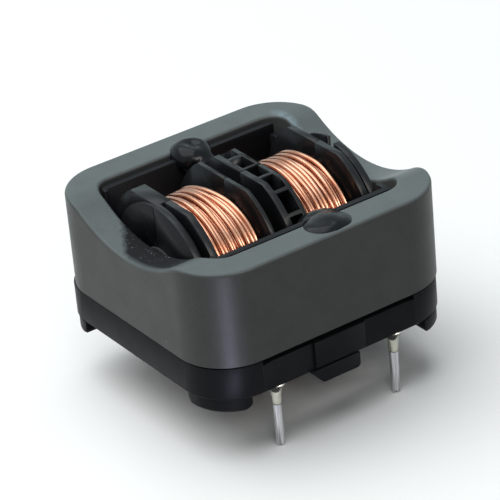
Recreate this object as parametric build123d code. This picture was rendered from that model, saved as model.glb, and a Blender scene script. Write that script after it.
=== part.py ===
from build123d import *
import os
from math import atan2, cos, sin, sqrt

# Through-hole common mode choke: a one-piece ferrite ring with a round centre leg, a split
# bobbin clamped round the leg, two windings, and a moulded base with four pins.
# Millimetres. X runs along the centre leg, Z is up, and the origin lies midway between the
# four pins, level with their tips.

# ---- driving dimensions ----

# pins
pin_spacing_x = 12.5
pin_setback = 1.2             # pin axes from the core's long faces
pin_diameter = 0.8
pin_reach = 4.9               # free length below the feet
pin_embed = 2.4               # length held in the base
pin_root_flare = 0.05         # widening of the root, from the solder up
pin_chamfer = 0.12

# ferrite core
core_length = 26.0
core_width = 24.9
core_height = 8.95
core_wall = 3.0
core_corner_radius = 4.9
core_edge_radius = 0.3
leg_diameter = 6.0
leg_axis_height = 3.1         # above the core's underside
saddle_depth = 2.4
saddle_radius = 14.0
saddle_blend_radius = 4.0

# base moulding
base_depth = 3.35             # underside of the frame to the core
base_inset = 0.1              # behind the core's outline all round
base_rear_corner_radius = 4.1
base_edge_radius = 0.25
shadow_gap = 0.18             # step under the core's outer edge
shadow_gap_inset = 0.5
side_gap = 0.65               # deeper step between the corner blocks on the two long sides
side_gap_inset = 1.3
corner_block_length = 4.9     # from the end of the base to the end of a corner block
corner_ramp = 0.8
panel_recess = 0.2            # of the side panels, on each side of the middle one
middle_panel_width = 5.3
foot_height = 1.4
foot_wall = 2.6
long_foot_inset = 0.45        # front left and rear right feet
long_foot_x = 3.9             # from the end of the base
long_foot_y = 5.15
short_foot_inset = 0.12       # front right and rear left feet
short_foot_x = 3.7
short_foot_y = 4.05
foot_edge_radius = 0.22
middle_foot_start = 3.2
middle_foot_end = 1.95
middle_foot_ramp = 1.2
middle_foot_depth = 2.0
middle_foot_corner = 0.4
liner_thickness = 0.6
liner_clearance = 0.5         # to the core's long walls
liner_drop = 0.35             # below the top of the core
liner_left_gap = 0.5          # turned-in ends to the core's end walls
liner_right_gap = 1.15
liner_left_return = 0.4
liner_right_return = 0.5
liner_left_corner = 0.8
liner_right_corner = 0.4
liner_left_reach = 1.0        # how far the ends turn in
liner_right_reach = 1.6
liner_hook_drop = 0.9         # rear right end, below the rest
disc_slot_clearance = 0.2

# split bobbin
bore_clearance = 0.15
barrel_wall = 0.75
split_offset = 0.3
split_gap = 0.1
flange_rise = 1.15            # flats above the core's top
flange_clearance = 0.15       # rear flanges to the liner
flange_step = 0.6             # front flanges, smaller than the rear ones
disc_clearance = 0.6          # end discs to the core's end walls
left_coil_start = 2.1         # inner ends of the two winding spaces
right_coil_start = 1.9
middle_flange_thickness = 0.4
end_flange_thickness = 0.65
end_groove = 0.5
end_disc_thickness = 0.65
rear_disc_thickness = 0.3
front_disc_relief = 1.2
key_floor = 2.0               # lower edge of the rear half's end key, above the axis
gear_web = 0.6
gear_web_offset = -0.1
gear_teeth = 20
tooth_width = 0.35
tooth_depth = 1.8
tooth_phase = -4             # first tooth, from upright towards the front

# windings
wire_diameter = 0.45
winding_clearance = 0.05
winding_depth = 0.35          # below the edge of the end discs
left_top_turns = 9            # turns of the upper layer, before the step down
right_top_turns = 9
step_layers = 3               # layers missing past the step
ridge_share = 0.5             # flat crest of each turn, as a share of the pitch
pin_gap = 0.02                # wire to pin
front_lead_place = 0.3        # where a lead leaves the winding, as a share of its length
rear_lead_place = 0.6
lead_overrun = 0.3            # past the pin's axis
lead_bend_radius = 0.7
lead_root_depth = 1.4         # start of a lead, inside the winding
lead_turnout = 0.8            # of the way to the liner

# joints at the pins
solder_radius = 0.95
solder_collar = 0.85
solder_height = 2.2
solder_tip_wall = 0.06
solder_waist = 0.4            # half way down the cone, as a share of its flare

# adhesive
rear_glue_radius = 2.1
rear_glue_dome = 1.3
rear_glue_rise = 0.75
rear_glue_x = 0.35
rear_glue_setback = 3.95      # from the core's rear face
front_glue_ball = 4.7
front_glue_rise = 0.5
front_glue_x = 0.8
front_glue_setback = 2.0      # from the core's front face
front_glue_edge = 0.06
front_glue_lip = 0.5          # run over the core's edges
front_drape_ball = 1.5
front_drape_x = 1.2
front_drape_gap = 0.9         # inside the liner
front_drape_sink = 1.3        # centre of the run-down, below the core's top

# ---- levels and faces that follow ----

foot_level = pin_reach
base_level = foot_level + foot_height
core_level = base_level + base_depth
core_top = core_level + core_height
axis_level = core_level + leg_axis_height

window_length = core_length - 2 * core_wall
window_width = core_width - 2 * core_wall
window_corner_radius = core_corner_radius - core_wall
leg_radius = leg_diameter / 2
bore_radius = leg_radius + bore_clearance
barrel_radius = bore_radius + barrel_wall

base_length = core_length - 2 * base_inset
base_width = core_width - 2 * base_inset
base_corner_radius = core_corner_radius - base_inset
liner_left_end = window_length / 2 - liner_left_gap
liner_right_end = window_length / 2 - liner_right_gap
liner_face = window_width / 2 - liner_clearance
opening_face = liner_face - liner_thickness
left_slot = opening_face + liner_thickness - liner_left_reach
right_slot = liner_face - liner_right_reach

flange_flat = core_height - leg_axis_height + flange_rise
rear_flange_radius = opening_face - flange_clearance
front_flange_radius = rear_flange_radius - flange_step
end_disc_radius = flange_flat
disc_end = window_length / 2 - disc_clearance
disc_start = disc_end - end_disc_thickness
coil_end = disc_start - end_groove - end_flange_thickness
coil_start = {1: right_coil_start, -1: left_coil_start}
winding_radius = end_disc_radius - winding_depth

pin_x = pin_spacing_x / 2
pin_y = core_width / 2 - pin_setback
pin_radius = pin_diameter / 2
wire_radius = wire_diameter / 2
lead_level = base_level - wire_radius - winding_clearance
layer_step = wire_diameter * sqrt(3) / 2
lead_offset = pin_radius + pin_root_flare + wire_radius + pin_gap
corners = [(1, 1), (-1, 1), (-1, -1), (1, -1)]
slack = 0.01                  # for telling one edge or corner from the next


def box(x0, x1, y0, y1, z0, z1):
    """Box between two X, two Y and two Z planes."""
    size = (x1 - x0, y1 - y0, z1 - z0)
    return Pos((x0 + x1) / 2, (y0 + y1) / 2, (z0 + z1) / 2) * Box(*size)


def rounded_block(length, width, radius, z0, z1):
    """Block with upright rounded corners, standing between two levels."""
    outline = Pos(0, 0, z0) * RectangleRounded(length, width, radius)
    return extrude(outline, z1 - z0)


def along_x(section, x0, x1):
    """Extrude a section drawn in (Y, Z about the leg axis) between two X planes."""
    plane = Plane(origin=(x0, 0, axis_level), x_dir=(0, 1, 0), z_dir=(1, 0, 0))
    return extrude(plane * section, x1 - x0)


# ---- ferrite core ----

def saddle_cutter():
    """Prism above the dip that crosses the top of both end walls."""
    centres = saddle_radius + saddle_blend_radius
    rise = centres - saddle_depth
    reach = sqrt(centres ** 2 - rise ** 2)
    tilt = atan2(reach, rise)
    floor = core_top - saddle_depth
    knee = (saddle_radius * sin(tilt), floor + saddle_radius * (1 - cos(tilt)))
    blend_mid = (reach - saddle_blend_radius * sin(tilt / 2),
                 core_top - saddle_blend_radius * (1 - cos(tilt / 2)))
    left = ThreePointArc((-reach, core_top), (-blend_mid[0], blend_mid[1]), (-knee[0], knee[1]))
    dip = ThreePointArc((-knee[0], knee[1]), (0, floor), knee)
    right = ThreePointArc(knee, blend_mid, (reach, core_top))
    over = core_top + core_wall
    lid = Polyline((reach, core_top), (reach, over), (-reach, over), (-reach, core_top))
    face = make_face(left + dip + right + lid)
    plane = Plane(origin=(-core_length, 0, 0), x_dir=(0, 1, 0), z_dir=(1, 0, 0))
    return extrude(plane * face, 2 * core_length)


def ferrite_core():
    """Closed ring with a dip in each end wall and the round leg across its window."""
    ring = rounded_block(core_length, core_width, core_corner_radius, core_level, core_top)
    ring -= rounded_block(window_length, window_width, window_corner_radius, core_level, core_top)
    ring -= saddle_cutter()
    top_edges = [e for e in ring.edges() if e.bounding_box().min.Z > core_top - saddle_depth - slack]
    ring = fillet(top_edges, core_edge_radius)
    leg_length = window_length + core_wall
    leg = Pos(0, 0, axis_level) * Rot(0, 90, 0) * Cylinder(leg_radius, leg_length)
    return ring + leg


# ---- base ----

def frame_outline(inset):
    """Outline of the base, set back, with its rear corners tighter than its front ones."""
    length = base_length - 2 * inset
    width = base_width - 2 * inset
    rear = RectangleRounded(length, width, base_rear_corner_radius - inset)
    front = RectangleRounded(length, width, base_corner_radius - inset)
    half = Pos(0, base_width / 2) * Rectangle(2 * base_length, base_width)
    return (rear & half) + (front - half)


def side_steps(side):
    """Cutters for the deep step and the recessed panels on one long side."""
    block_end = base_length / 2 - corner_block_length
    face = side * base_width / 2
    beyond = side * base_width
    inner = face - side * side_gap_inset
    cutters = [box(-block_end, block_end, min(inner, beyond), max(inner, beyond),
                   core_level - side_gap, core_level)]
    back = face - side * panel_recess
    for end in (1, -1):
        start = end * middle_panel_width / 2
        profile = Polyline((start, back), (end * (block_end - corner_ramp), back),
                           (end * block_end, face), (end * block_end, beyond), (start, beyond), close=True)
        cutters.append(extrude(Pos(0, 0, base_level) * make_face(profile), base_depth))
    return cutters


def base_frame():
    """Frame under the core, with the stepped top edge and the panelled long sides."""
    frame = extrude(Pos(0, 0, base_level) * frame_outline(0), base_depth)
    frame = chamfer(frame.faces().sort_by(Axis.Z)[0].edges(), base_edge_radius)
    rim = extrude(Pos(0, 0, core_level - shadow_gap) * frame_outline(-1), shadow_gap)
    frame -= rim - extrude(Pos(0, 0, core_level - shadow_gap) * frame_outline(shadow_gap_inset), shadow_gap)
    for side in (1, -1):
        for cutter in side_steps(side):
            frame -= cutter
    return frame - opening(base_level, core_level)


def opening(z0, z1):
    """Room for the bobbin: the space between the liner walls, and slots for the end discs."""
    left = -liner_left_end + liner_left_return
    right = liner_right_end - liner_right_return
    reach = disc_end + disc_slot_clearance
    room = box(left, right, -opening_face, opening_face, z0, z1)
    room += box(-reach, 0, -left_slot, left_slot, z0, z1)
    return room + box(0, reach, -right_slot, right_slot, z0, z1)


def liner():
    """Upright insulating walls inside the window, turned in at both ends."""
    top = core_top - liner_drop
    middle = (liner_right_end - liner_left_end) / 2
    block = Pos(middle, 0) * Rectangle(liner_left_end + liner_right_end, 2 * liner_face)
    left = block.vertices().group_by(Axis.X)[0]
    right = block.vertices().group_by(Axis.X)[-1]
    block = fillet(left, liner_left_corner)
    block = fillet([v for v in block.vertices() if v.X > liner_right_end - slack], liner_right_corner)
    walls = extrude(Pos(0, 0, base_level) * block, top - base_level)
    walls -= opening(base_level, top)
    inner = liner_right_end - liner_right_return
    return walls - box(inner, liner_right_end, right_slot, opening_face, top - liner_hook_drop, top)


def foot_ring(inset):
    """Ring under the frame, eased along its outer lower edge, that the feet are cut from."""
    ring = extrude(Pos(0, 0, foot_level) * frame_outline(inset), foot_height)
    ring = chamfer(ring.faces().sort_by(Axis.Z)[0].edges(), foot_edge_radius)
    return ring - extrude(Pos(0, 0, foot_level) * frame_outline(inset + foot_wall), foot_height)


def corner_feet():
    """Four feet that follow the corners of the frame, alike across the centre."""
    rings = {True: foot_ring(long_foot_inset), False: foot_ring(short_foot_inset)}
    feet = None
    for sx, sy in corners:
        long = sx == sy
        x0 = sx * (base_length / 2 - (long_foot_x if long else short_foot_x))
        y0 = sy * (base_width / 2 - (long_foot_y if long else short_foot_y))
        x1 = sx * base_length
        y1 = sy * base_width
        corner = box(min(x0, x1), max(x0, x1), min(y0, y1), max(y0, y1), foot_level, base_level)
        foot = rings[long] & corner
        feet = foot if feet is None else feet + foot
    return feet


def middle_foot(side):
    """Short foot under the middle panel, with a sloping end."""
    profile = Polyline((-middle_foot_start, base_level), (middle_foot_ramp - middle_foot_start, foot_level),
                       (middle_foot_end, foot_level), (middle_foot_end, base_level), close=True)
    plane = Plane(origin=(0, -base_width / 2, 0), x_dir=(1, 0, 0), z_dir=(0, -1, 0))
    foot = extrude(plane * make_face(profile), -middle_foot_depth)
    lower = foot.edges().filter_by(Axis.Y).group_by(Axis.Z)[0]
    foot = fillet(lower, middle_foot_corner)
    return foot if side < 0 else Rot(0, 0, 180) * foot


def base():
    """One moulding: frame, feet, insulating walls and the four pin holes."""
    body = base_frame() + liner() + corner_feet() + middle_foot(-1) + middle_foot(1)
    for sx, sy in corners:
        body -= Pos(sx * pin_x, sy * pin_y, 0) * pin()
    return body


# ---- bobbin ----

def half_plane(side, relief=0.0):
    """Half of the bobbin's section on one side of the split, about the leg axis."""
    reach = 2 * rear_flange_radius
    edge = split_offset + side * split_gap / 2 + side * relief
    return Pos(edge + side * reach / 2, 0) * Rectangle(reach, 2 * reach)


def plate_section(radius, side, relief=0.0):
    """Round plate with flats above and below, one half, without the bore."""
    disc = Circle(radius) & Rectangle(2 * radius, 2 * flange_flat)
    return disc & half_plane(side, relief) - Circle(bore_radius)


def teeth(side, radius):
    """Drive teeth beside the gear web, cut to the plate's outline."""
    end = coil_start[1] - middle_flange_thickness
    slab = along_x(plate_section(radius, side), gear_web_offset, end)
    bars = None
    for index in range(gear_teeth):
        angle = 90 + tooth_phase + index * 360 / gear_teeth
        bar = Rot(0, 0, angle) * Pos(radius, 0) * Rectangle(2 * tooth_depth, tooth_width)
        bars = bar if bars is None else bars + bar
    comb = along_x(bars, gear_web_offset, end)
    return slab & comb


def bobbin_half(side, radius):
    """Half barrel with its flanges, gear web, teeth and end discs."""
    tube = Circle(barrel_radius) & half_plane(side) - Circle(bore_radius)
    half = along_x(tube, -disc_end, disc_end)
    section = plate_section(radius, side)
    half += along_x(section, gear_web_offset - gear_web / 2, gear_web_offset + gear_web / 2)
    half += teeth(side, radius)
    for end in (1, -1):
        a, b = sorted((end * coil_start[end], end * (coil_start[end] - middle_flange_thickness)))
        half += along_x(section, a, b)
        a, b = sorted((end * coil_end, end * (coil_end + end_flange_thickness)))
        half += along_x(section, a, b)
    return half


def end_disc(side, start, stop, relief=0.0):
    """Half of a plain round end disc between two X planes."""
    a, b = sorted((start, stop))
    disc = Circle(end_disc_radius) & half_plane(side, relief) - Circle(bore_radius)
    return along_x(disc, a, b)


def bobbin_front():
    """Front half: a groove and a disc outside each end flange."""
    half = bobbin_half(-1, front_flange_radius)
    half += end_disc(-1, -disc_start, -disc_end)
    return half + end_disc(-1, disc_start, disc_end, front_disc_relief)


def bobbin_rear():
    """Rear half: larger flanges, and a solid key between flange and disc at the left end."""
    half = bobbin_half(1, rear_flange_radius)
    inner = coil_end + end_flange_thickness
    outer = disc_end - rear_disc_thickness
    upper = Pos(0, key_floor + rear_flange_radius) * Rectangle(4 * rear_flange_radius,
                                                              2 * rear_flange_radius)
    half += along_x(plate_section(rear_flange_radius, 1) & upper, -outer, -inner)
    half += end_disc(1, -outer, -disc_end)
    return half + end_disc(1, outer, disc_end)


# ---- windings ----

def coil_first(end):
    """Left end of a winding space."""
    return coil_start[1] if end > 0 else -coil_end


def winding_section(end, top_turns):
    """Half section of a winding, with a ridge for each outer turn."""
    length = coil_end - coil_start[end] - 2 * winding_clearance
    turns = int(length / wire_diameter)
    pitch = length / turns
    slope = pitch * (1 - ridge_share) / 2
    start = coil_first(end) + winding_clearance
    inner = barrel_radius + winding_clearance
    points = [(start + length, inner), (start, inner)]
    for index in range(turns):
        crest = winding_radius - (0 if index < top_turns else step_layers * layer_step)
        x = start + index * pitch
        points += [(x, crest - slope), (x + slope, crest), (x + pitch - slope, crest)]
    points.append((start + length, crest - slope))
    return make_face(Polyline(*points, close=True))


def lead(end, side, start_x):
    """One end of the wire: out of the winding, under the base, and past its pin."""
    run_x = end * (pin_x + lead_offset)
    points = [(start_x, side * lead_root_depth, axis_level - winding_radius + lead_root_depth),
              (start_x, side * lead_turnout * opening_face, lead_level),
              (run_x, side * (opening_face + lead_bend_radius), lead_level),
              (run_x, side * (pin_y + lead_overrun), lead_level)]
    run = FilletPolyline(*points, radius=lead_bend_radius)
    section = Plane(origin=run @ 0, z_dir=run % 0) * Circle(wire_radius)
    return sweep(section, path=run)


def winding(end, top_turns):
    """One wire: its turns, and its two ends led out to the pins."""
    plane = Plane(origin=(0, 0, axis_level), x_dir=(1, 0, 0), z_dir=(0, -1, 0))
    body = revolve(plane * winding_section(end, top_turns), Axis((0, 0, axis_level), (1, 0, 0)))
    length = coil_end - coil_start[end]
    for side, share in ((-1, front_lead_place), (1, rear_lead_place)):
        body += lead(end, side, coil_first(end) + length * share)
    return body


# ---- pins, solder and adhesive ----

def pin():
    """Round pin standing on the origin, with an eased tip and a root that widens into the base."""
    top = base_level + pin_embed
    shoulder = base_level - solder_height
    section = Polyline((0, 0), (pin_radius - pin_chamfer, 0), (pin_radius, pin_chamfer),
                       (pin_radius, shoulder), (pin_radius + pin_root_flare, top), (0, top), close=True)
    return revolve(Plane.XZ * make_face(section), Axis.Z)


def solder_joint(end, side):
    """Solder that hangs below the base round a pin and the wire beside it."""
    top = base_level
    knee = top - solder_collar
    tip = top - solder_height
    tip_radius = pin_radius + solder_tip_wall
    edge = Polyline((solder_radius, top), (solder_radius, knee),
                    (pin_radius + solder_waist * (solder_radius - pin_radius), (knee + tip) / 2),
                    (tip_radius, tip), (0, tip), (0, top), close=True)
    cone = revolve(Plane.XZ * make_face(edge), Axis.Z) - pin()
    run = Pos(end * lead_offset, side * lead_overrun, lead_level) * Rot(side * 90, 0, 0)
    wire = Cylinder(wire_radius, core_wall, align=(Align.CENTER, Align.CENTER, Align.MIN))
    return cone - run * wire


def trimmed(blobs, neighbours):
    """Cut every neighbour out of each blob, join the blobs and keep the largest piece."""
    joined = None
    for blob in blobs:
        for neighbour in neighbours:
            blob -= neighbour
        joined = blob if joined is None else joined + blob
    return joined.solids().sort_by(SortBy.VOLUME)[-1]


def glue_rear(neighbours):
    """Domed drop that lies over the rear wall and the middle of the bobbin."""
    centre = core_top + rear_glue_rise - rear_glue_dome
    bow = (rear_glue_radius * sqrt(0.5), rear_glue_dome * sqrt(0.5))
    upper = ThreePointArc((0, rear_glue_dome), bow, (rear_glue_radius, 0))
    lower = ThreePointArc((rear_glue_radius, 0), (bow[0], -bow[1]), (0, -rear_glue_dome))
    section = make_face(upper + lower + Line((0, -rear_glue_dome), (0, rear_glue_dome)))
    dome = revolve(Plane.XZ * section, Axis.Z)
    return trimmed([Pos(rear_glue_x, core_width / 2 - rear_glue_setback, centre) * dome], neighbours)


def glue_front(neighbours):
    """Flat smear on the front wall that runs down to the middle of the bobbin."""
    centre = core_top + front_glue_rise - front_glue_ball
    smear = Pos(front_glue_x, front_glue_setback - core_width / 2, centre) * Sphere(front_glue_ball)
    smear &= box(-front_glue_ball, front_glue_ball, front_glue_edge - core_width / 2, 0,
                 core_top - front_glue_lip, 2 * core_top)
    drape = Pos(front_drape_x, front_drape_gap - opening_face, core_top - front_drape_sink) * Sphere(front_drape_ball)
    return trimmed([smear, drape], neighbours)


def build():
    """All sub-parts by node name."""
    parts = {"ferrite_core": ferrite_core(), "base": base(),
             "bobbin_front": bobbin_front(), "bobbin_rear": bobbin_rear(),
             "winding_left": winding(-1, left_top_turns),
             "winding_right": winding(1, right_top_turns)}
    housing = [parts["ferrite_core"], parts["base"]]
    parts["glue_rear"] = glue_rear(housing + [parts["bobbin_rear"]])
    parts["glue_front"] = glue_front(housing + [parts["bobbin_front"]])
    names = {(1, 1): "right_rear", (-1, 1): "left_rear", (-1, -1): "left_front", (1, -1): "right_front"}
    for place, name in names.items():
        spot = Pos(place[0] * pin_x, place[1] * pin_y, 0)
        parts["pin_" + name] = spot * pin()
        parts["solder_" + name] = spot * solder_joint(*place)
    return parts


os.makedirs("parts", exist_ok=True)
for node, solid in build().items():
    export_step(solid, f"parts/{node}.step")
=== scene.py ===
import math

import bmesh
import bpy
from mathutils import Matrix, Quaternion, Vector, noise


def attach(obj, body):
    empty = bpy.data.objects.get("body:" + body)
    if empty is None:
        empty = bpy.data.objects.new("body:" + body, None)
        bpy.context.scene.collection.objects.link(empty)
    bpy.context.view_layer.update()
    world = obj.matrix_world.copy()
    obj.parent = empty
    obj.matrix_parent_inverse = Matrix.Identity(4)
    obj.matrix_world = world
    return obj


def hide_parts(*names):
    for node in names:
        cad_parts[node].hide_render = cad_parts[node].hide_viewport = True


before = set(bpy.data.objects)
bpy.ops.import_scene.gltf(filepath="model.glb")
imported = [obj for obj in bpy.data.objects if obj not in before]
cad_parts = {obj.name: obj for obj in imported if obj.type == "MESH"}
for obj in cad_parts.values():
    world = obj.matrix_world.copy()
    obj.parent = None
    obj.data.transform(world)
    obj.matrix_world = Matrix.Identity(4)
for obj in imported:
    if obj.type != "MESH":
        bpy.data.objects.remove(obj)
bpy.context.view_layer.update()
mm = 0.001
print("frame loaded:", len(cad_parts), "nodes")


def fromHex(code):
    # sRGB hex to the linear values that shaders use
    parts = [int(code[i:i + 2], 16) / 255 for i in (1, 3, 5)]
    return tuple(c / 12.92 if c <= 0.04045 else ((c + 0.055) / 1.055) ** 2.4 for c in parts) + (1.0,)


def addNode(tree, kind, inputs=None, stops=None, **settings):
    # one node: its settings, its values, its incoming links and, on a ramp, its stops
    node = tree.nodes.new(kind)
    for name, value in settings.items():
        setattr(node, name, value)
    pairs = inputs.items() if isinstance(inputs, dict) else enumerate(inputs or [])
    for key, value in pairs:
        if isinstance(value, bpy.types.Node):
            value = value.outputs[2 if value.bl_idname == "ShaderNodeMix" else 0]
        if isinstance(value, bpy.types.NodeSocket):
            tree.links.new(value, node.inputs[key])
        else:
            node.inputs[key].default_value = value
    for index, (place, level) in enumerate(stops or []):
        stop = node.color_ramp.elements[index] if index < 2 else node.color_ramp.elements.new(place)
        stop.position = place
        stop.color = (level, level, level, 1.0)
    return node


def newMaterial(name):
    material = bpy.data.materials.new(name)
    material.use_nodes = True
    tree = material.node_tree
    tree.nodes.clear()
    shader = addNode(tree, "ShaderNodeBsdfPrincipled")
    addNode(tree, "ShaderNodeOutputMaterial", {"Surface": shader})
    return material, tree, shader, addNode(tree, "ShaderNodeTexCoord").outputs["Object"]


def perMm(size):
    # texture scale for a feature of this size in millimetres
    return 1.0 / (size * mm)


# ferrite core

ferriteLook = {
    "side": "#5b5b59",          # sintered manganese-zinc ferrite
    "sideCloud": "#4e4f4e",
    "topSheen": "#636969",       # painted sheen: a lighter, tealer colour for the faces that face up
    "topSheenCloud": "#565c5c",
    "grain": 0.11,              # mm
    "cloudSize": 2.5,
    "roughness": 0.42,
    "specular": 0.2,
    "chip": "#9aa09f",
    "chipSpacing": 1.9,
    "chipSize": 0.07,
    "chipShare": 0.3,
    "paintedHighlight": "#7e9097",         # painted highlight: a pale bluish patch at the window's rear right corner
    "paintedHighlightPlace": (9.95, 7.6),
    "paintedHighlightReach": (0.95, 2.7),
    "darkPatch": "#0e0f11",       # dark, rougher patch on the left dip
    # pale flecks in the dark patch are painted glints
    "paintedGlint": "#85888a",
    "darkPatchStart": 0.3,        # mm, its edge along the outer face
    "darkPatchSlant": 1.64,
    "glintSize": 0.2,
}


def sinteredFerrite(look):
    # pressed and sintered ferrite, tumbled: dark grey ceramic, satin, with small pale chips; up-facing faces get a
    # lighter, tealer painted sheen, and there is a painted highlight patch and a dark patch with painted glints
    material, tree, shader, place = newMaterial("sintered_ferrite")
    grain = addNode(tree, "ShaderNodeTexNoise", {"Vector": place, "Scale": perMm(look["grain"]), "Detail": 3.0})
    cloud = addNode(tree, "ShaderNodeTexNoise",
                    {"Vector": place, "Scale": perMm(look["cloudSize"]), "Detail": 5.0, "Roughness": 0.62})
    mottle = addNode(tree, "ShaderNodeMath", [grain, 1.4, cloud], operation="MULTIPLY_ADD")
    mottle = addNode(tree, "ShaderNodeMapRange", {"Value": mottle, "From Min": 0.8, "From Max": 1.6})
    side = addNode(tree, "ShaderNodeMix", {0: mottle, 6: fromHex(look["side"]), 7: fromHex(look["sideCloud"])},
                   data_type="RGBA")
    # the lighter, tealer colour for up-facing faces is painted sheen
    topSheen = addNode(tree, "ShaderNodeMix",
                      {0: mottle, 6: fromHex(look["topSheen"]), 7: fromHex(look["topSheenCloud"])}, data_type="RGBA")
    normal = addNode(tree, "ShaderNodeNewGeometry").outputs["Normal"]
    facing = addNode(tree, "ShaderNodeSeparateXYZ", {"Vector": normal}).outputs
    upward = addNode(tree, "ShaderNodeMapRange", {"Value": facing["Z"], "From Min": 0.4, "From Max": 0.9})
    body = addNode(tree, "ShaderNodeMix", {0: upward, 6: side.outputs[2], 7: topSheen.outputs[2]}, data_type="RGBA")
    spots = addNode(tree, "ShaderNodeTexVoronoi", {"Vector": place, "Scale": perMm(look["chipSpacing"])})
    size = look["chipSize"] / look["chipSpacing"]
    near = addNode(tree, "ShaderNodeValToRGB", {"Fac": spots.outputs["Distance"]},
                   stops=[(size * 0.6, 1), (size, 0)])
    picked = addNode(tree, "ShaderNodeMath", [spots.outputs["Color"], look["chipShare"]], operation="LESS_THAN")
    chip = addNode(tree, "ShaderNodeMath", [near, picked], operation="MULTIPLY")
    chipped = addNode(tree, "ShaderNodeMix", {0: chip, 6: body.outputs[2], 7: fromHex(look["chip"])}, data_type="RGBA")
    # a painted highlight patch at the window's rear right corner, on up-facing faces only
    paintedHighlight = addNode(tree, "ShaderNodeMath", [paintedHighlightArea(tree, place, look), upward], operation="MULTIPLY")
    highlighted = addNode(tree, "ShaderNodeMix", {0: paintedHighlight, 6: chipped.outputs[2], 7: fromHex(look["paintedHighlight"])},
                     data_type="RGBA")
    # a dark, rougher, lumpy patch on the front part of the left dip
    darkPatch = darkPatchArea(tree, place, look)
    # pale flecks inside the dark patch are painted glints
    glintNoise = addNode(tree, "ShaderNodeTexNoise",
                     {"Vector": place, "Scale": perMm(look["glintSize"]), "Detail": 5.0, "Roughness": 0.65})
    glint = addNode(tree, "ShaderNodeValToRGB", {"Fac": glintNoise}, stops=[(0.59, 0), (0.69, 1)])
    patches = addNode(tree, "ShaderNodeTexNoise", {"Vector": place, "Scale": perMm(1.1), "Detail": 2.0})
    few = addNode(tree, "ShaderNodeValToRGB", {"Fac": patches}, stops=[(0.45, 0), (0.58, 1)])
    glint = addNode(tree, "ShaderNodeMath", [glint, few], operation="MULTIPLY")
    darkPatchColour = addNode(tree, "ShaderNodeMix",
                    {0: glint, 6: fromHex(look["darkPatch"]), 7: fromHex(look["paintedGlint"])}, data_type="RGBA")
    colour = addNode(tree, "ShaderNodeMix", {0: darkPatch, 6: highlighted.outputs[2], 7: darkPatchColour}, data_type="RGBA")
    tree.links.new(colour.outputs[2], shader.inputs["Base Color"])
    rough = addNode(tree, "ShaderNodeMapRange",
                    {"Value": cloud, "To Min": look["roughness"] - 0.06, "To Max": look["roughness"] + 0.08})
    rough = addNode(tree, "ShaderNodeMath", [darkPatch, 0.35, rough], operation="MULTIPLY_ADD")
    tree.links.new(rough.outputs[0], shader.inputs["Roughness"])
    shader.inputs["Specular IOR Level"].default_value = look["specular"]
    lumps = addNode(tree, "ShaderNodeTexNoise", {"Vector": place, "Scale": perMm(0.3), "Detail": 4.0})
    raised = addNode(tree, "ShaderNodeMath", [lumps, darkPatch], operation="MULTIPLY")
    height = addNode(tree, "ShaderNodeMath", [raised, 6.0, grain], operation="MULTIPLY_ADD")
    bump = addNode(tree, "ShaderNodeBump", {"Height": height, "Strength": 0.5, "Distance": 0.02 * mm})
    tree.links.new(bump.outputs["Normal"], shader.inputs["Normal"])
    return material


def paintedHighlightArea(tree, place, look):
    # 1 in the middle of the painted highlight patch, streaky and soft-edged
    centre, reach = look["paintedHighlightPlace"], look["paintedHighlightReach"]
    local = addNode(tree, "ShaderNodeMapping",
                    {"Vector": place, "Location": (-centre[0] / reach[0], -centre[1] / reach[1], 0.0),
                     "Scale": (perMm(reach[0]), perMm(reach[1]), 0.0)})
    away = addNode(tree, "ShaderNodeVectorMath", {0: local}, operation="LENGTH").outputs["Value"]
    inside = addNode(tree, "ShaderNodeMapRange", {"Value": away, "From Min": 1.0, "From Max": 0.25})
    streaks = addNode(tree, "ShaderNodeTexNoise", {"Vector": place, "Scale": perMm(0.5), "Detail": 4.0})
    highlightStreaks = addNode(tree, "ShaderNodeMapRange", {"Value": streaks, "From Min": 0.35, "From Max": 0.6, "To Min": 0.35})
    return addNode(tree, "ShaderNodeMath", [inside, highlightStreaks], operation="MULTIPLY")


def darkPatchArea(tree, place, look):
    # 1 on the front part of the left dip, with a ragged edge
    spot = addNode(tree, "ShaderNodeSeparateXYZ", {"Vector": place}).outputs
    normal = addNode(tree, "ShaderNodeNewGeometry").outputs["Normal"]
    facing = addNode(tree, "ShaderNodeSeparateXYZ", {"Vector": normal}).outputs
    ragged = addNode(tree, "ShaderNodeTexNoise", {"Vector": place, "Scale": perMm(0.7), "Detail": 4.0})
    edge = addNode(tree, "ShaderNodeMath", [spot["X"], -look["darkPatchSlant"], spot["Y"]], operation="MULTIPLY_ADD")
    edge = addNode(tree, "ShaderNodeMath", [ragged, 1.6 * mm, edge], operation="MULTIPLY_ADD")
    limit = (look["darkPatchStart"] + 12.8 * look["darkPatchSlant"] + 0.8) * mm
    ramps = [(edge, limit + 0.4 * mm, limit - 0.8 * mm), (spot["Z"], 18.5 * mm, 17.6 * mm),
             (spot["X"], -9.3 * mm, -9.6 * mm), (spot["X"], -12.95 * mm, -12.2 * mm),
             (spot["Y"], -10.2 * mm, -8.6 * mm), (facing["Z"], 0.5, 0.75)]
    area = 1.0
    for value, start, stop in ramps:
        part = addNode(tree, "ShaderNodeMapRange", {"Value": value, "From Min": start, "From Max": stop})
        area = addNode(tree, "ShaderNodeMath", [part, area], operation="MULTIPLY")
    return area


def finishNode(nodeName, material):
    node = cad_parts[nodeName]
    node.data.materials.clear()
    node.data.materials.append(material)


finishNode("ferrite_core", sinteredFerrite(ferriteLook))
print("core finished")


# moulded base and bobbin halves

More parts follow.
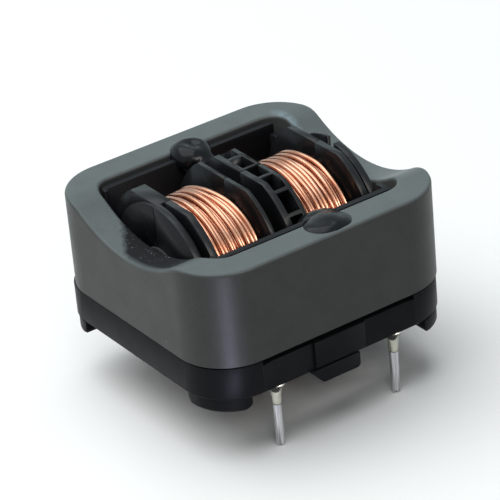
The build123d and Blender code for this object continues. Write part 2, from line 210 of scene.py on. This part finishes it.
baseMake = {"width": 0.2, "segments": 3, "footRound": 0.7, "footEdge": (2.3, 2.6),
            "footHeight": 1.4}                                     # mm
bobbinMake = {"width": 0.09, "segments": 2}
baseLook = {"body": "#222225", "cloud": "#1a1a1d", "grain": 0.1, "roughness": 0.42, "bump": 0.01,
            "specular": 0.07}
bobbinLook = {"body": "#1b1b1d", "cloud": "#131315", "grain": 0.16, "roughness": 0.34, "bump": 0.006,
              "specular": 0.22}


def mouldedPlastic(name, look):
    # glass-filled black thermoplastic: fine mould texture, soft sheen
    material, tree, shader, place = newMaterial(name)
    cloud = addNode(tree, "ShaderNodeTexNoise", {"Vector": place, "Scale": perMm(2.4), "Detail": 4.0})
    grain = addNode(tree, "ShaderNodeTexNoise", {"Vector": place, "Scale": perMm(look["grain"]), "Detail": 3.0})
    colour = addNode(tree, "ShaderNodeMix", {0: cloud, 6: fromHex(look["body"]), 7: fromHex(look["cloud"])},
                     data_type="RGBA")
    tree.links.new(colour.outputs[2], shader.inputs["Base Color"])
    rough = addNode(tree, "ShaderNodeMapRange",
                    {"Value": cloud, "To Min": look["roughness"] - 0.1, "To Max": look["roughness"] + 0.1})
    tree.links.new(rough.outputs[0], shader.inputs["Roughness"])
    shader.inputs["Specular IOR Level"].default_value = look["specular"]
    bump = addNode(tree, "ShaderNodeBump", {"Height": grain, "Strength": 0.6, "Distance": look["bump"] * mm})
    tree.links.new(bump.outputs["Normal"], shader.inputs["Normal"])
    return material


def joinedCopy(nodeName):
    # the node's own shape, with its triangles joined up
    work = bmesh.new()
    work.from_mesh(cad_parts[nodeName].data)
    bmesh.ops.remove_doubles(work, verts=work.verts, dist=0.001 * mm)
    return work


def makePiece(name, mesh, material, nodeNames):
    mesh.name = name
    mesh.materials.clear()
    mesh.materials.append(material)
    for polygon in mesh.polygons:
        polygon.use_smooth = True
        polygon.material_index = 0
    piece = bpy.data.objects.new(name, mesh)
    bpy.context.scene.collection.objects.link(piece)
    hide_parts(*nodeNames)
    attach(piece, "root")
    return piece


def plainMesh(source):
    # the object with its modifiers worked in, as a plain mesh; the object goes
    depsgraph = bpy.context.evaluated_depsgraph_get()
    made = bpy.data.meshes.new_from_object(source.evaluated_get(depsgraph), depsgraph=depsgraph)
    bpy.data.objects.remove(source)
    return made


def carrier(mesh):
    holder = bpy.data.objects.new("carrier", mesh)
    bpy.context.scene.collection.objects.link(holder)
    return holder


def roundFeet(work, rounding, edgeRange, height):
    # the ends of the corner feet run up in a curve
    level = min(vert.co.z for vert in work.verts)
    ends = []
    for edge in work.edges:
        low = all(vert.co.z < level + 0.01 * mm for vert in edge.verts)
        if low and edgeRange[0] * mm < edge.calc_length() < edgeRange[1] * mm:
            first, second = (vert.co.copy() for vert in edge.verts)
            ends.append((0 if abs(first.x - second.x) < 0.01 * mm else 1, first))
    steps = [rounding * (1 - math.cos(math.radians(15 * index))) * mm for index in range(1, 7)]
    lifts = {}
    for axis, spot in ends:
        sign = math.copysign(1, spot[axis])
        for step in steps:
            faces = [face for face in work.faces if min(vert.co.z for vert in face.verts) < level + height * mm * 0.9
                     and all(face.calc_center_median()[k] * spot[k] > 0 for k in (0, 1))]
            geometry = list({item for face in faces for item in (face, *face.edges, *face.verts)})
            normal, place = Vector((0, 0, 0)), Vector((0, 0, 0))
            normal[axis] = 1
            place[axis] = spot[axis] + sign * step
            bmesh.ops.bisect_plane(work, geom=geometry, dist=0.001 * mm, plane_co=place, plane_no=normal)
    for vert in work.verts:
        for axis, spot in ends:
            same = all(vert.co[k] * spot[k] > 0 for k in (0, 1))
            inside = (vert.co[axis] - spot[axis]) * math.copysign(1, spot[axis])
            if same and -0.01 * mm < inside < rounding * mm and vert.co.z < level + height * mm:
                reach = rounding * mm
                lift = reach - math.sqrt(max(0.0, reach ** 2 - (reach - inside) ** 2))
                lifts[vert] = max(lift, lifts.get(vert, 0.0))
    for vert, lift in lifts.items():
        vert.co.z += lift * (1 - (vert.co.z - level) / (height * mm))
    return len(ends)


def easedMesh(nodeName, width, segments, footRound=0.0, footEdge=(0, 0), footHeight=0.0):
    # sharp edges eased, and the ends of the feet rounded
    work = joinedCopy(nodeName)
    bmesh.ops.dissolve_limit(work, angle_limit=math.radians(0.5), verts=work.verts, edges=work.edges)
    if footRound > 0:
        print("foot ends rounded:", roundFeet(work, footRound, footEdge, footHeight))
    mesh = bpy.data.meshes.new(nodeName)
    work.to_mesh(mesh)
    work.free()
    holder = carrier(mesh)
    bevel = holder.modifiers.new("ease", "BEVEL")
    bevel.width = width * mm
    bevel.segments = segments
    bevel.limit_method = "ANGLE"
    bevel.angle_limit = math.radians(28)
    bevel.use_clamp_overlap = True
    bevel.harden_normals = True
    return plainMesh(holder)


bobbinPlastic = mouldedPlastic("moulded_bobbin_plastic", bobbinLook)
makePiece("base_moulding", easedMesh("base", **baseMake), mouldedPlastic("glass_filled_frame_plastic", baseLook),
          ["base"])
makePiece("bobbin_front_half", easedMesh("bobbin_front", **bobbinMake), bobbinPlastic, ["bobbin_front"])
makePiece("bobbin_rear_half", easedMesh("bobbin_rear", **bobbinMake), bobbinPlastic, ["bobbin_rear"])
print("mouldings made")


# windings

wireLook = {
    "crest": "#c38c72",         # copper through clear enamel
    "dark": "#b5775a",
    "toneSize": 1.6,            # mm
    "roughness": 0.23,
}

windingMake = {
    "left": {"first": -7.35, "turns": 10.6, "fan": 1.35, "bunch": 0.085, "group": 2.45, "seed": 4,
             "radius": 6.3, "node": "winding_left", "leadStarts": (-5.95, -4.3), "side": -1},
    "right": {"first": 2.15, "turns": 10.6, "fan": 0.55, "bunch": 0.075, "group": 2.7, "seed": 9,
              "radius": 6.12, "node": "winding_right", "leadStarts": (3.61, 5.32), "side": 1},
    "wire": 0.45,               # mm
    "pitch": 0.44,
    "layers": (0, 1, 3),        # the outer one runs at the winding's radius
    "layerStep": 0.39,
    "axis": 12.75,
    "waver": 0.06,
    "pointsPerTurn": 90,
    "sides": 10,
    "leadLevel": 6.02,
    "leadRun": 6.945,
}


def enamelledCopper(look):
    # magnet wire: bright copper under clear polyurethane enamel, so a warm metal with a clear coat
    material, tree, shader, place = newMaterial("enamelled_copper_wire")
    tone = addNode(tree, "ShaderNodeTexNoise", {"Vector": place, "Scale": perMm(look["toneSize"]), "Detail": 3.0})
    part = addNode(tree, "ShaderNodeValToRGB", {"Fac": tone}, stops=[(0.35, 0), (0.65, 1)])
    colour = addNode(tree, "ShaderNodeMix", {0: part, 6: fromHex(look["crest"]), 7: fromHex(look["dark"])},
                     data_type="RGBA")
    tree.links.new(colour.outputs[2], shader.inputs["Base Color"])
    shader.inputs["Metallic"].default_value = 1.0
    rough = addNode(tree, "ShaderNodeMapRange",
                    {"Value": tone, "To Min": look["roughness"] - 0.06, "To Max": look["roughness"] + 0.1})
    tree.links.new(rough.outputs[0], shader.inputs["Roughness"])
    shader.inputs["Coat Weight"].default_value = 0.5
    shader.inputs["Coat Roughness"].default_value = 0.1
    return material


def turnTree():
    # one layer of turns round the leg: a helix that fans out towards the front, its turns in loose groups
    tree = bpy.data.node_groups.new("wound_turns", "GeometryNodeTree")
    tree.is_modifier = True
    face = tree.interface
    for name, kind, value in (("Turns", "NodeSocketFloat", 9.5), ("Points per turn", "NodeSocketInt", 90),
                              ("First", "NodeSocketFloat", 0.0), ("Pitch", "NodeSocketFloat", 0.00046),
                              ("Radius", "NodeSocketFloat", 0.0064), ("Wire", "NodeSocketFloat", 0.00045),
                              ("Fan", "NodeSocketFloat", 0.0015), ("Waver", "NodeSocketFloat", 0.00004),
                              ("Bunch", "NodeSocketFloat", 0.00008), ("Group", "NodeSocketFloat", 2.5),
                              ("Axis height", "NodeSocketFloat", 0.01275), ("Sides", "NodeSocketInt", 10),
                              ("Seed", "NodeSocketInt", 1)):
        face.new_socket(name, in_out="INPUT", socket_type=kind).default_value = value
    face.new_socket("Material", in_out="INPUT", socket_type="NodeSocketMaterial")
    face.new_socket("Geometry", in_out="OUTPUT", socket_type="NodeSocketGeometry")
    given = addNode(tree, "NodeGroupInput").outputs
    count = addNode(tree, "ShaderNodeMath", [given["Turns"], given["Points per turn"]], operation="MULTIPLY")
    line = addNode(tree, "GeometryNodeCurvePrimitiveLine")
    points = addNode(tree, "GeometryNodeResampleCurve", {"Curve": line, "Count": count.outputs[0]})
    turn = addNode(tree, "ShaderNodeMath", [addNode(tree, "GeometryNodeInputIndex"), given["Points per turn"]],
                   operation="DIVIDE")
    angle = addNode(tree, "ShaderNodeMath", [turn, math.tau], operation="MULTIPLY")
    cosine = addNode(tree, "ShaderNodeMath", [angle], operation="COSINE")
    sine = addNode(tree, "ShaderNodeMath", [angle], operation="SINE")
    # how far each place is towards the back, from 0 in front to 1 behind
    shifted = addNode(tree, "ShaderNodeMath", [angle, math.radians(95)], operation="SUBTRACT")
    facing = addNode(tree, "ShaderNodeMath", [shifted], operation="COSINE")
    behind = addNode(tree, "ShaderNodeMapRange", {"Value": facing, "From Min": 0.707, "From Max": -0.707},
                     interpolation_type="SMOOTHSTEP")
    share = addNode(tree, "ShaderNodeMath", [turn, given["Turns"]], operation="DIVIDE")
    late = addNode(tree, "ShaderNodeMath", [share, 2.2], operation="POWER")
    pulled = addNode(tree, "ShaderNodeMath", [late, behind], operation="MULTIPLY")
    pulled = addNode(tree, "ShaderNodeMath", [pulled, given["Fan"]], operation="MULTIPLY")
    # loose groups of turns, with a dark gap between one and the next
    phase = addNode(tree, "ShaderNodeMath", [turn, given["Group"]], operation="DIVIDE")
    phase = addNode(tree, "ShaderNodeMath", [phase, math.tau, given["Seed"]], operation="MULTIPLY_ADD")
    wave = addNode(tree, "ShaderNodeMath", [phase], operation="SINE")
    spaced = addNode(tree, "ShaderNodeMath", [wave, given["Bunch"]], operation="MULTIPLY")
    # each place wanders a little, the same way each run
    along = addNode(tree, "ShaderNodeMath", [turn, 0.9, given["Seed"]], operation="MULTIPLY_ADD")
    where = addNode(tree, "ShaderNodeCombineXYZ", {"X": cosine, "Y": sine, "Z": along})
    wander = addNode(tree, "ShaderNodeTexNoise", {"Vector": where, "Scale": 1.3, "Detail": 1.0})
    split = addNode(tree, "ShaderNodeSeparateXYZ", {"Vector": wander.outputs["Color"]})
    sway = addNode(tree, "ShaderNodeMath", [split.outputs[0], 0.5], operation="SUBTRACT")
    sway = addNode(tree, "ShaderNodeMath", [sway, 5.0], operation="MULTIPLY")
    sway = addNode(tree, "ShaderNodeMath", [sway, given["Waver"]], operation="MULTIPLY")
    lift = addNode(tree, "ShaderNodeMath", [split.outputs[1], 0.6], operation="SUBTRACT")
    lift = addNode(tree, "ShaderNodeMath", [lift, 3.0], operation="MULTIPLY")
    lift = addNode(tree, "ShaderNodeMath", [lift, given["Waver"]], operation="MULTIPLY")
    # where turns crowd, every second one rides up
    crowd = addNode(tree, "ShaderNodeMath", [pulled, 0.12, given["Bunch"]], operation="MULTIPLY_ADD")
    other = addNode(tree, "ShaderNodeMath", [turn, math.pi], operation="MULTIPLY")
    other = addNode(tree, "ShaderNodeMath", [other], operation="COSINE")
    ride = addNode(tree, "ShaderNodeMath", [other, crowd, lift], operation="MULTIPLY_ADD")
    x = addNode(tree, "ShaderNodeMath", [turn, given["Pitch"], given["First"]], operation="MULTIPLY_ADD")
    x = addNode(tree, "ShaderNodeMath", [x, pulled], operation="SUBTRACT")
    x = addNode(tree, "ShaderNodeMath", [x, spaced], operation="ADD")
    x = addNode(tree, "ShaderNodeMath", [x, sway], operation="ADD")
    radius = addNode(tree, "ShaderNodeMath", [given["Radius"], ride], operation="ADD")
    y = addNode(tree, "ShaderNodeMath", [sine, radius], operation="MULTIPLY")
    y = addNode(tree, "ShaderNodeMath", [y, -1.0], operation="MULTIPLY")
    z = addNode(tree, "ShaderNodeMath", [cosine, radius, given["Axis height"]], operation="MULTIPLY_ADD")
    spot = addNode(tree, "ShaderNodeCombineXYZ", {"X": x, "Y": y, "Z": z})
    placed = addNode(tree, "GeometryNodeSetPosition", {"Geometry": points, "Position": spot})
    half = addNode(tree, "ShaderNodeMath", [given["Wire"], 0.5], operation="MULTIPLY")
    ring = addNode(tree, "GeometryNodeCurvePrimitiveCircle", {"Resolution": given["Sides"], "Radius": half})
    tube = addNode(tree, "GeometryNodeCurveToMesh", {"Curve": placed, "Profile Curve": ring, "Fill Caps": True})
    smooth = addNode(tree, "GeometryNodeSetShadeSmooth", {"Geometry": tube})
    real = addNode(tree, "GeometryNodeRealizeInstances", {"Geometry": smooth})
    finished = addNode(tree, "GeometryNodeSetMaterial", {"Geometry": real, "Material": given["Material"]})
    addNode(tree, "NodeGroupOutput", {"Geometry": finished})
    return tree


def layerMesh(tree, values):
    # one layer, as a plain mesh
    holder = carrier(bpy.data.meshes.new("layer"))
    modifier = holder.modifiers.new("turns", "NODES")
    modifier.node_group = tree
    names = {s.name: s.identifier for s in tree.interface.items_tree if s.in_out == "INPUT"}
    for name, value in values.items():
        modifier[names[name]] = value
    return plainMesh(holder)


def wireMesh(points, diameter):
    # a wire along a smooth spline
    curve = bpy.data.curves.new("lead", "CURVE")
    curve.dimensions = "3D"
    curve.bevel_depth = diameter / 2 * mm
    curve.bevel_resolution = 3
    curve.use_fill_caps = True
    curve.resolution_u = 12
    spline = curve.splines.new("NURBS")
    spline.points.add(len(points) - 1)
    for point, place in zip(spline.points, points):
        point.co = (place[0] * mm, place[1] * mm, place[2] * mm, 1.0)
    spline.order_u = 3
    spline.use_endpoint_u = True
    return plainMesh(carrier(curve))


copper = enamelledCopper(wireLook)
turns = turnTree()
for end in ("left", "right"):
    make = windingMake[end]
    parts = []
    for layer in windingMake["layers"]:
        outer = layer == 0
        parts.append(layerMesh(turns, {
            "Turns": make["turns"] - (0.4 if layer == 1 else 0.0) + (1.3 if layer == 3 else 0.0),
            "Points per turn": windingMake["pointsPerTurn"],
            "First": make["first"] * mm, "Pitch": windingMake["pitch"] * mm,
            "Radius": (make["radius"] - layer * windingMake["layerStep"]) * mm,
            "Wire": windingMake["wire"] * mm, "Fan": make["fan"] * mm * (1 if layer < 3 else 0),
            "Waver": windingMake["waver"] * mm, "Bunch": make["bunch"] * mm * (1 if outer else 0.3),
            "Group": make["group"], "Axis height": windingMake["axis"] * mm, "Sides": windingMake["sides"],
            "Seed": make["seed"] + layer, "Material": copper}))
    for start, front in zip(make["leadStarts"], (-1, 1)):
        run, level = make["side"] * windingMake["leadRun"], windingMake["leadLevel"]
        parts.append(wireMesh([(start, front * 1.4, 7.5), (start, front * 5.2, 6.3), (start, front * 6.7, level),
                               (run, front * 8.2, level), (run, front * 9.6, level), (run, front * 11.3, level)],
                              windingMake["wire"]))
    work = bmesh.new()
    for part in parts:
        work.from_mesh(part)
    whole = bpy.data.meshes.new("winding")
    work.to_mesh(whole)
    work.free()
    makePiece(f"copper_winding_{end}", whole, copper, [make["node"]])
print("windings made")


# pins and solder

pinMake = {
    "spread": (6.25, 11.25),    # mm, from the middle to each pin's axis
    "radius": 0.4,
    "top": 8.7,
    "groove": 0.045,
    "grooveWidth": 17.0,        # degrees
    "grooveTurn": -122.0,
    "notch": 0.2,
    "sides": 40,
}
# the streak colour paints reflection streaks along the pin
pinLook = {"body": "#dededf", "paintedStreak": "#96969a", "lineWidth": 0.1, "roughness": 0.34}
solderMake = {
    "profile": [(6.3, 0.93), (6.18, 0.91), (5.98, 0.8), (5.74, 0.66), (5.5, 0.565), (5.25, 0.505), (5.0, 0.47),
                (4.75, 0.452), (4.5, 0.438), (4.3, 0.425), (4.13, 0.402)],     # mm: height, radius
    "dimple": 0.2,
    "dimpleTurn": -128.0,
    "dimpleLevel": 5.86,
    "wireBulge": 0.1,
    "sides": 40,
}
solderLook = {"body": "#c4c2b6", "flux": "#1f2010", "grain": 0.22, "roughness": 0.2}


def tinPlate(look):
    # tin-plated pin: dull silver with fine draw lines along its length, their light and dark colour painted in as
    # reflection streaks
    material, tree, shader, place = newMaterial("tin_plated_pin")
    stretch = addNode(tree, "ShaderNodeMapping", {"Vector": place, "Scale": (1.0, 1.0, 0.03)})
    lines = addNode(tree, "ShaderNodeTexNoise", {"Vector": stretch, "Scale": perMm(look["lineWidth"]), "Detail": 3.0})
    # light and dark lines along the pin: painted reflection streaks over the draw lines
    part = addNode(tree, "ShaderNodeValToRGB", {"Fac": lines}, stops=[(0.38, 0), (0.62, 1)])
    colour = addNode(tree, "ShaderNodeMix", {0: part, 6: fromHex(look["paintedStreak"]), 7: fromHex(look["body"])},
                     data_type="RGBA")
    tree.links.new(colour.outputs[2], shader.inputs["Base Color"])
    shader.inputs["Metallic"].default_value = 1.0
    rough = addNode(tree, "ShaderNodeMapRange",
                    {"Value": lines, "To Min": look["roughness"] - 0.1, "To Max": look["roughness"] + 0.12})
    tree.links.new(rough.outputs[0], shader.inputs["Roughness"])
    bump = addNode(tree, "ShaderNodeBump", {"Height": lines, "Strength": 0.4, "Distance": 0.012 * mm})
    tree.links.new(bump.outputs["Normal"], shader.inputs["Normal"])
    return material


def tinSolder(look):
    # tin solder, dipped: a bright skin, with brown-green flux left in its hollow
    material, tree, shader, place = newMaterial("dipped_tin_solder")
    hollow = addNode(tree, "ShaderNodeAttribute", attribute_name="hollow")
    grain = addNode(tree, "ShaderNodeTexNoise", {"Vector": place, "Scale": perMm(look["grain"]), "Detail": 3.0})
    ragged = addNode(tree, "ShaderNodeMath", [grain, 0.5, hollow.outputs["Fac"]], operation="MULTIPLY_ADD")
    flux = addNode(tree, "ShaderNodeValToRGB", {"Fac": ragged}, stops=[(0.4, 0), (0.58, 1)])
    colour = addNode(tree, "ShaderNodeMix", {0: flux, 6: fromHex(look["body"]), 7: fromHex(look["flux"])},
                     data_type="RGBA")
    tree.links.new(colour.outputs[2], shader.inputs["Base Color"])
    metal = addNode(tree, "ShaderNodeMath", [1.0, flux], operation="SUBTRACT")
    tree.links.new(metal.outputs[0], shader.inputs["Metallic"])
    rough = addNode(tree, "ShaderNodeMapRange",
                    {"Value": grain, "To Min": look["roughness"] - 0.1, "To Max": look["roughness"] + 0.15})
    tree.links.new(rough.outputs[0], shader.inputs["Roughness"])
    bump = addNode(tree, "ShaderNodeBump", {"Height": grain, "Strength": 0.5, "Distance": 0.03 * mm})
    tree.links.new(bump.outputs["Normal"], shader.inputs["Normal"])
    return material


def turnedMesh(name, rings, centre, sides, shape):
    # rings of a turned form from top to bottom, closed at both ends; shape moves each point
    work = bmesh.new()
    mark = work.verts.layers.float.new("hollow")
    rows = []
    for height, radius in rings:
        row = []
        for index in range(sides):
            turn = math.tau * index / sides
            r, z, deep = shape(turn, height, radius)
            vert = work.verts.new(((centre[0] + r * math.cos(turn)) * mm, (centre[1] + r * math.sin(turn)) * mm, z * mm))
            vert[mark] = deep
            row.append(vert)
        rows.append(row)
    for upper, lower in zip(rows, rows[1:]):
        for index in range(sides):
            following = (index + 1) % sides
            work.faces.new((upper[index], lower[index], lower[following], upper[following]))
    for row in (rows[0], rows[-1]):
        hub = work.verts.new(sum((vert.co for vert in row), Vector()) / sides)
        for index in range(sides):
            work.faces.new((hub, row[index], row[(index + 1) % sides]))
    bmesh.ops.recalc_face_normals(work, faces=work.faces)
    mesh = bpy.data.meshes.new(name)
    work.to_mesh(mesh)
    work.free()
    return mesh


def angleGap(turn, degrees):
    # how far a turn is from a direction, in degrees
    return abs((math.degrees(turn) - degrees + 180) % 360 - 180)


def pinShape(turn, height, radius):
    # a shallow groove along the pin, and a nick at its tip
    side = math.exp(-(angleGap(turn, pinMake["grooveTurn"]) / pinMake["grooveWidth"]) ** 2)
    low = max(0.0, 1 - height / 0.5)
    return radius - pinMake["groove"] * side * (1 + low), height + pinMake["notch"] * side * low, 0.0


def solderShape(side):
    def shape(turn, height, radius):
        # fuller over the wire, hollow where the solder drew back
        wire = math.exp(-(angleGap(turn, 0 if side > 0 else 180) / 40) ** 2)
        level = math.exp(-((height - 5.95) / 0.3) ** 2)
        hollow = math.exp(-(angleGap(turn, solderMake["dimpleTurn"]) / 36) ** 2)
        hollow *= math.exp(-((height - solderMake["dimpleLevel"]) / 0.3) ** 2)
        ripple = 0.02 * noise.noise(Vector((math.cos(turn) * 2, math.sin(turn) * 2 + side * 5, height * 3)))
        r = radius + solderMake["wireBulge"] * wire * level - solderMake["dimple"] * hollow
        r += ripple if height < 6.25 else 0.0
        return min(r, 0.94), height, hollow
    return shape


tin = tinPlate(pinLook)
solder = tinSolder(solderLook)
radius = pinMake["radius"]
pinRings = [(pinMake["top"], radius), (6.0, radius), (4.0, radius), (3.0, radius), (2.0, radius), (1.0, radius),
            (0.5, radius), (0.3, radius), (0.15, radius - 0.01), (0.05, radius - 0.06), (0.0, radius - 0.13)]
for side, end in ((-1, "left"), (1, "right")):
    for front, row in ((-1, "front"), (1, "rear")):
        centre = (side * pinMake["spread"][0], front * pinMake["spread"][1])
        pinMesh = turnedMesh("pin", pinRings, centre, pinMake["sides"], pinShape)
        makePiece(f"tinned_pin_{end}_{row}", pinMesh, tin, [f"pin_{end}_{row}"])
        cone = turnedMesh("cone", solderMake["profile"], centre, solderMake["sides"], solderShape(side))
        makePiece(f"solder_cone_{end}_{row}", cone, solder, [f"solder_{end}_{row}"])
print("pins and solder made")


# adhesive

glueMake = {
    # blobs: centre and radii in mm, run together; the dimple is where the surface sank
    "rear": {"node": "glue_rear", "flatten": 17.8, "passes": 12, "dimple": (0.3, 8.5, 0.75), "depth": 0.5,
             "blobs": [((0.15, 8.8, 17.95), (1.95, 2.05, 1.6)), ((0.5, 7.6, 17.35), (1.4, 1.5, 1.25))]},
    "front": {"node": "glue_front", "flatten": 18.2, "passes": 26, "dimple": (-0.2, -9.9, 1.2), "depth": 0.08,
              "blobs": [((0.8, -10.5, 18.2), (2.35, 1.9, 0.98)), ((1.3, -9.0, 17.85), (2.0, 1.6, 1.0)),
                        ((1.3, -7.7, 17.2), (1.5, 1.1, 0.95)), ((1.75, -10.75, 18.1), (1.55, 1.6, 0.9))]},
    "voxel": 0.09,              # mm
    "lump": 0.1,
    "lumpSize": 1.15,
}
glueLook = {"body": "#17181a", "cloud": "#0f0f11", "ripple": 0.5, "roughness": 0.18, "specular": 0.15}


def epoxy(look):
    # black epoxy adhesive, cured in place: smooth, slightly wavy skin
    material, tree, shader, place = newMaterial("black_epoxy")
    tone = addNode(tree, "ShaderNodeTexNoise", {"Vector": place, "Scale": perMm(look["ripple"]), "Detail": 3.0})
    colour = addNode(tree, "ShaderNodeMix", {0: tone, 6: fromHex(look["body"]), 7: fromHex(look["cloud"])},
                     data_type="RGBA")
    tree.links.new(colour.outputs[2], shader.inputs["Base Color"])
    rough = addNode(tree, "ShaderNodeMapRange",
                    {"Value": tone, "To Min": look["roughness"] - 0.08, "To Max": look["roughness"] + 0.14})
    tree.links.new(rough.outputs[0], shader.inputs["Roughness"])
    shader.inputs["Specular IOR Level"].default_value = look["specular"]
    bump = addNode(tree, "ShaderNodeBump", {"Height": tone, "Strength": 0.4, "Distance": 0.04 * mm})
    tree.links.new(bump.outputs["Normal"], shader.inputs["Normal"])
    return material


def glueMesh(make):
    # blobs run together, sunk a little in one place and wavy
    work = bmesh.new()
    for centre, radii in make["blobs"]:
        matrix = Matrix.Translation(Vector(centre) * mm) @ Matrix.Diagonal(Vector(radii) * mm).to_4x4()
        bmesh.ops.create_icosphere(work, subdivisions=4, radius=1.0, matrix=matrix)
    mesh = bpy.data.meshes.new("glue")
    work.to_mesh(mesh)
    work.free()
    holder = carrier(mesh)
    remesh = holder.modifiers.new("skin", "REMESH")
    remesh.mode = "VOXEL"
    remesh.voxel_size = glueMake["voxel"] * mm
    relax = holder.modifiers.new("relax", "SMOOTH")
    relax.factor = 0.6
    relax.iterations = make["passes"]
    made = plainMesh(holder)
    x, y, reach = make["dimple"]
    for vert in made.vertices:
        place = Vector(vert.co) / mm
        above = max(0.0, place.z - make["flatten"])
        gap = math.hypot(place.x - x, place.y - y) / reach
        wave = noise.noise(place / glueMake["lumpSize"])
        lift = glueMake["lump"] * wave * min(1.0, above * 2)
        lower = make["depth"] * math.exp(-gap ** 2) * min(1.0, above * 2)
        vert.co.z = (place.z + lift - lower) * mm
    return made


glue = epoxy(glueLook)
for place in ("rear", "front"):
    make = glueMake[place]
    makePiece(f"adhesive_{place}", glueMesh(make), glue, [make["node"]])
print("adhesive made")


# floor, light and camera

stageMake = {
    "floorSize": 3.0,
    "floorSeen": "#fffdfb",     # as the camera and gloss see it
    "floorTrue": "#6a6a6a",     # as it lights the object
    "skyLight": 0.2,
    "skyTint": "#e2f4f8",
}
lampMake = {
    "overhead": {"place": (-0.105, 0.08, 0.46), "aim": (0, 0, 0.012), "size": (0.6, 0.6), "power": 3.1,
                 "colour": "#f9fdff"},
    "front_key": {"place": (-0.13, -0.30, 0.26), "aim": (0, 0, 0.012), "size": (0.1, 0.1), "power": 0.1,
                  "colour": "#fffaf4"},
    # a low window in front, seen only in the metal
    "front_window": {"place": (0.05, -0.33, 0.22), "aim": (0, 0, 0.012), "size": (0.26, 0.12), "power": 0.9,
                     "colour": "#fff6ee", "sheenOnly": True},
    # a strip lying on the floor off the front corner, seen only as a sheen
    "corner_strip": {"place": (-0.0245, -0.0337, 0.001), "aim": (-0.0245, -0.0337, 1.0), "turn": -32.0,
                     "size": (0.0036, 0.036), "power": 0.0085, "colour": "#dcdcff", "sheenOnly": True},
}
cameraMake = {
    "azimuth": -32.857, "elevation": 28.868, "roll": -5.338,   # degrees
    "distance": 260.0, "target": (-2.236, -3.042, 14.126),     # mm
    "lens": 218.02, "sensor": 36.0,
}


def makeFloor(make):
    mesh = bpy.data.meshes.new("studio_floor")
    half = make["floorSize"] / 2
    mesh.from_pydata([(-half, -half, 0), (half, -half, 0), (half, half, 0), (-half, half, 0)], [], [(0, 1, 2, 3)])
    floor = bpy.data.objects.new("studio_floor", mesh)
    bpy.context.scene.collection.objects.link(floor)
    paper = bpy.data.materials.new("white_paper_sweep")
    paper.use_nodes = True
    tree = paper.node_tree
    tree.nodes.clear()
    rays = addNode(tree, "ShaderNodeLightPath").outputs
    seen = addNode(tree, "ShaderNodeMath", [rays["Is Camera Ray"], rays["Is Transmission Ray"]], operation="ADD")
    seen = addNode(tree, "ShaderNodeMath", [seen, rays["Is Glossy Ray"]], operation="ADD", use_clamp=True)
    tone = addNode(tree, "ShaderNodeMix", {0: seen, 6: fromHex(make["floorTrue"]), 7: fromHex(make["floorSeen"])},
                   data_type="RGBA")
    addNode(tree, "ShaderNodeOutputMaterial", {"Surface": addNode(tree, "ShaderNodeBsdfDiffuse", {"Color": tone})})
    mesh.materials.append(paper)


def makeSky(make):
    world = bpy.data.worlds.new("studio")
    bpy.context.scene.world = world
    world.use_nodes = True
    tree = world.node_tree
    tree.nodes.clear()
    rays = addNode(tree, "ShaderNodeLightPath").outputs
    direct = addNode(tree, "ShaderNodeMath", [rays["Is Camera Ray"], rays["Is Transmission Ray"]], operation="ADD")
    direct = addNode(tree, "ShaderNodeMath", [direct, rays["Is Glossy Ray"]], operation="ADD", use_clamp=True)
    lit = addNode(tree, "ShaderNodeBackground", {"Color": fromHex(make["skyTint"]), "Strength": make["skyLight"]})
    shown = addNode(tree, "ShaderNodeBackground", {"Color": fromHex(make["skyTint"]), "Strength": 1.0})
    chosen = addNode(tree, "ShaderNodeMixShader", {0: direct, 1: lit, 2: shown})
    addNode(tree, "ShaderNodeOutputWorld", {"Surface": chosen})


def makeLamp(name, make):
    lamp = bpy.data.lights.new(name, "AREA")
    lamp.shape = "RECTANGLE"
    lamp.size, lamp.size_y = make["size"]
    lamp.energy = make["power"]
    lamp.color = fromHex(make["colour"])[:3]
    holder = bpy.data.objects.new(name, lamp)
    holder.location = make["place"]
    holder.rotation_mode = "QUATERNION"
    aim = (Vector(make["aim"]) - Vector(make["place"])).to_track_quat("-Z", "Y")
    holder.rotation_quaternion = Quaternion((0, 0, 1), math.radians(make.get("turn", 0))) @ aim
    holder.visible_camera = False
    holder.visible_diffuse = not make.get("sheenOnly", False)
    bpy.context.scene.collection.objects.link(holder)


def placeCamera(make):
    azimuth, elevation, roll = (math.radians(make[key]) for key in ("azimuth", "elevation", "roll"))
    back = Vector((math.sin(azimuth) * math.cos(elevation), -math.cos(azimuth) * math.cos(elevation),
                   math.sin(elevation)))
    side = Vector((0, 0, 1)).cross(back).normalized()
    up = back.cross(side)
    across = side * math.cos(roll) + up * math.sin(roll)
    upright = up * math.cos(roll) - side * math.sin(roll)
    data = bpy.data.cameras.new("camera")
    data.lens = make["lens"]
    data.sensor_width = make["sensor"]
    data.clip_start, data.clip_end = 0.01, 10.0
    camera = bpy.data.objects.new("camera", data)
    bpy.context.scene.collection.objects.link(camera)
    matrix = Matrix((across, upright, back)).transposed().to_4x4()
    matrix.translation = (Vector(make["target"]) + back * make["distance"]) * mm
    camera.matrix_world = matrix
    bpy.context.scene.camera = camera


makeFloor(stageMake)
makeSky(stageMake)
for name, make in lampMake.items():
    makeLamp(name, make)
placeCamera(cameraMake)
bpy.context.scene.view_settings.view_transform = "Standard"
print("stage and camera ready")
